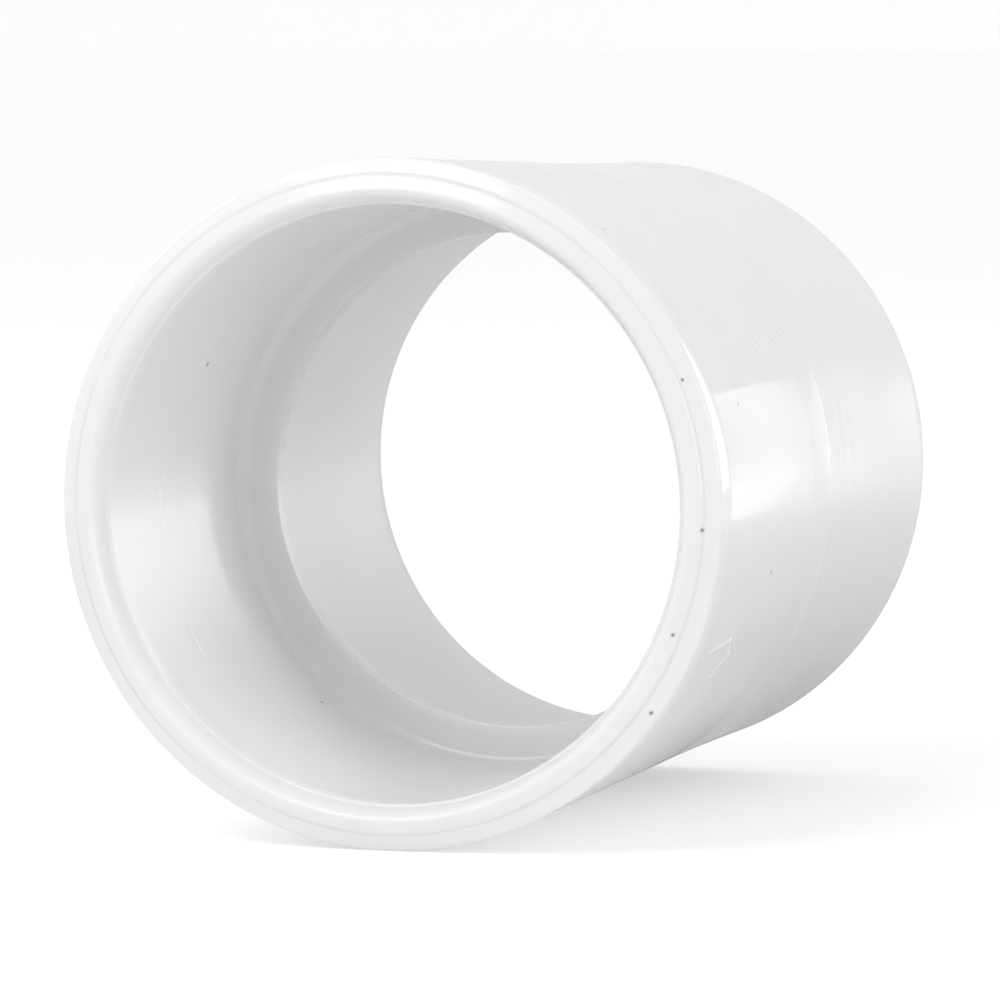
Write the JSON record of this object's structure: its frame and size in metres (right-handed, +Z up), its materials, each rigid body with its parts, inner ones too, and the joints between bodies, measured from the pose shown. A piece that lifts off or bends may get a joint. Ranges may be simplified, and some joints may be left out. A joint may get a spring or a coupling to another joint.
{
  "type": "reducing coupling",
  "caption": "Round white plastic reducing coupling: a larger and a smaller pipe socket back to back, with a stop ring between them.",
  "frame": {"origin": "on the axis, in the plane of the stop ring's face that the large pipe meets", "axes": "+Y along the pipe axis from the large end to the small end, +Z up with the part lying on its side, +X to the right seen from the large end"},
  "size_m": [0.058, 0.0754, 0.058],
  "materials": {
    "white_pvc": "smooth glossy moulded white PVC, slightly translucent at its edges"
  },
  "bodies": {
    "root": {"coupling_body": "white_pvc"}
  },
  "joints": []
}
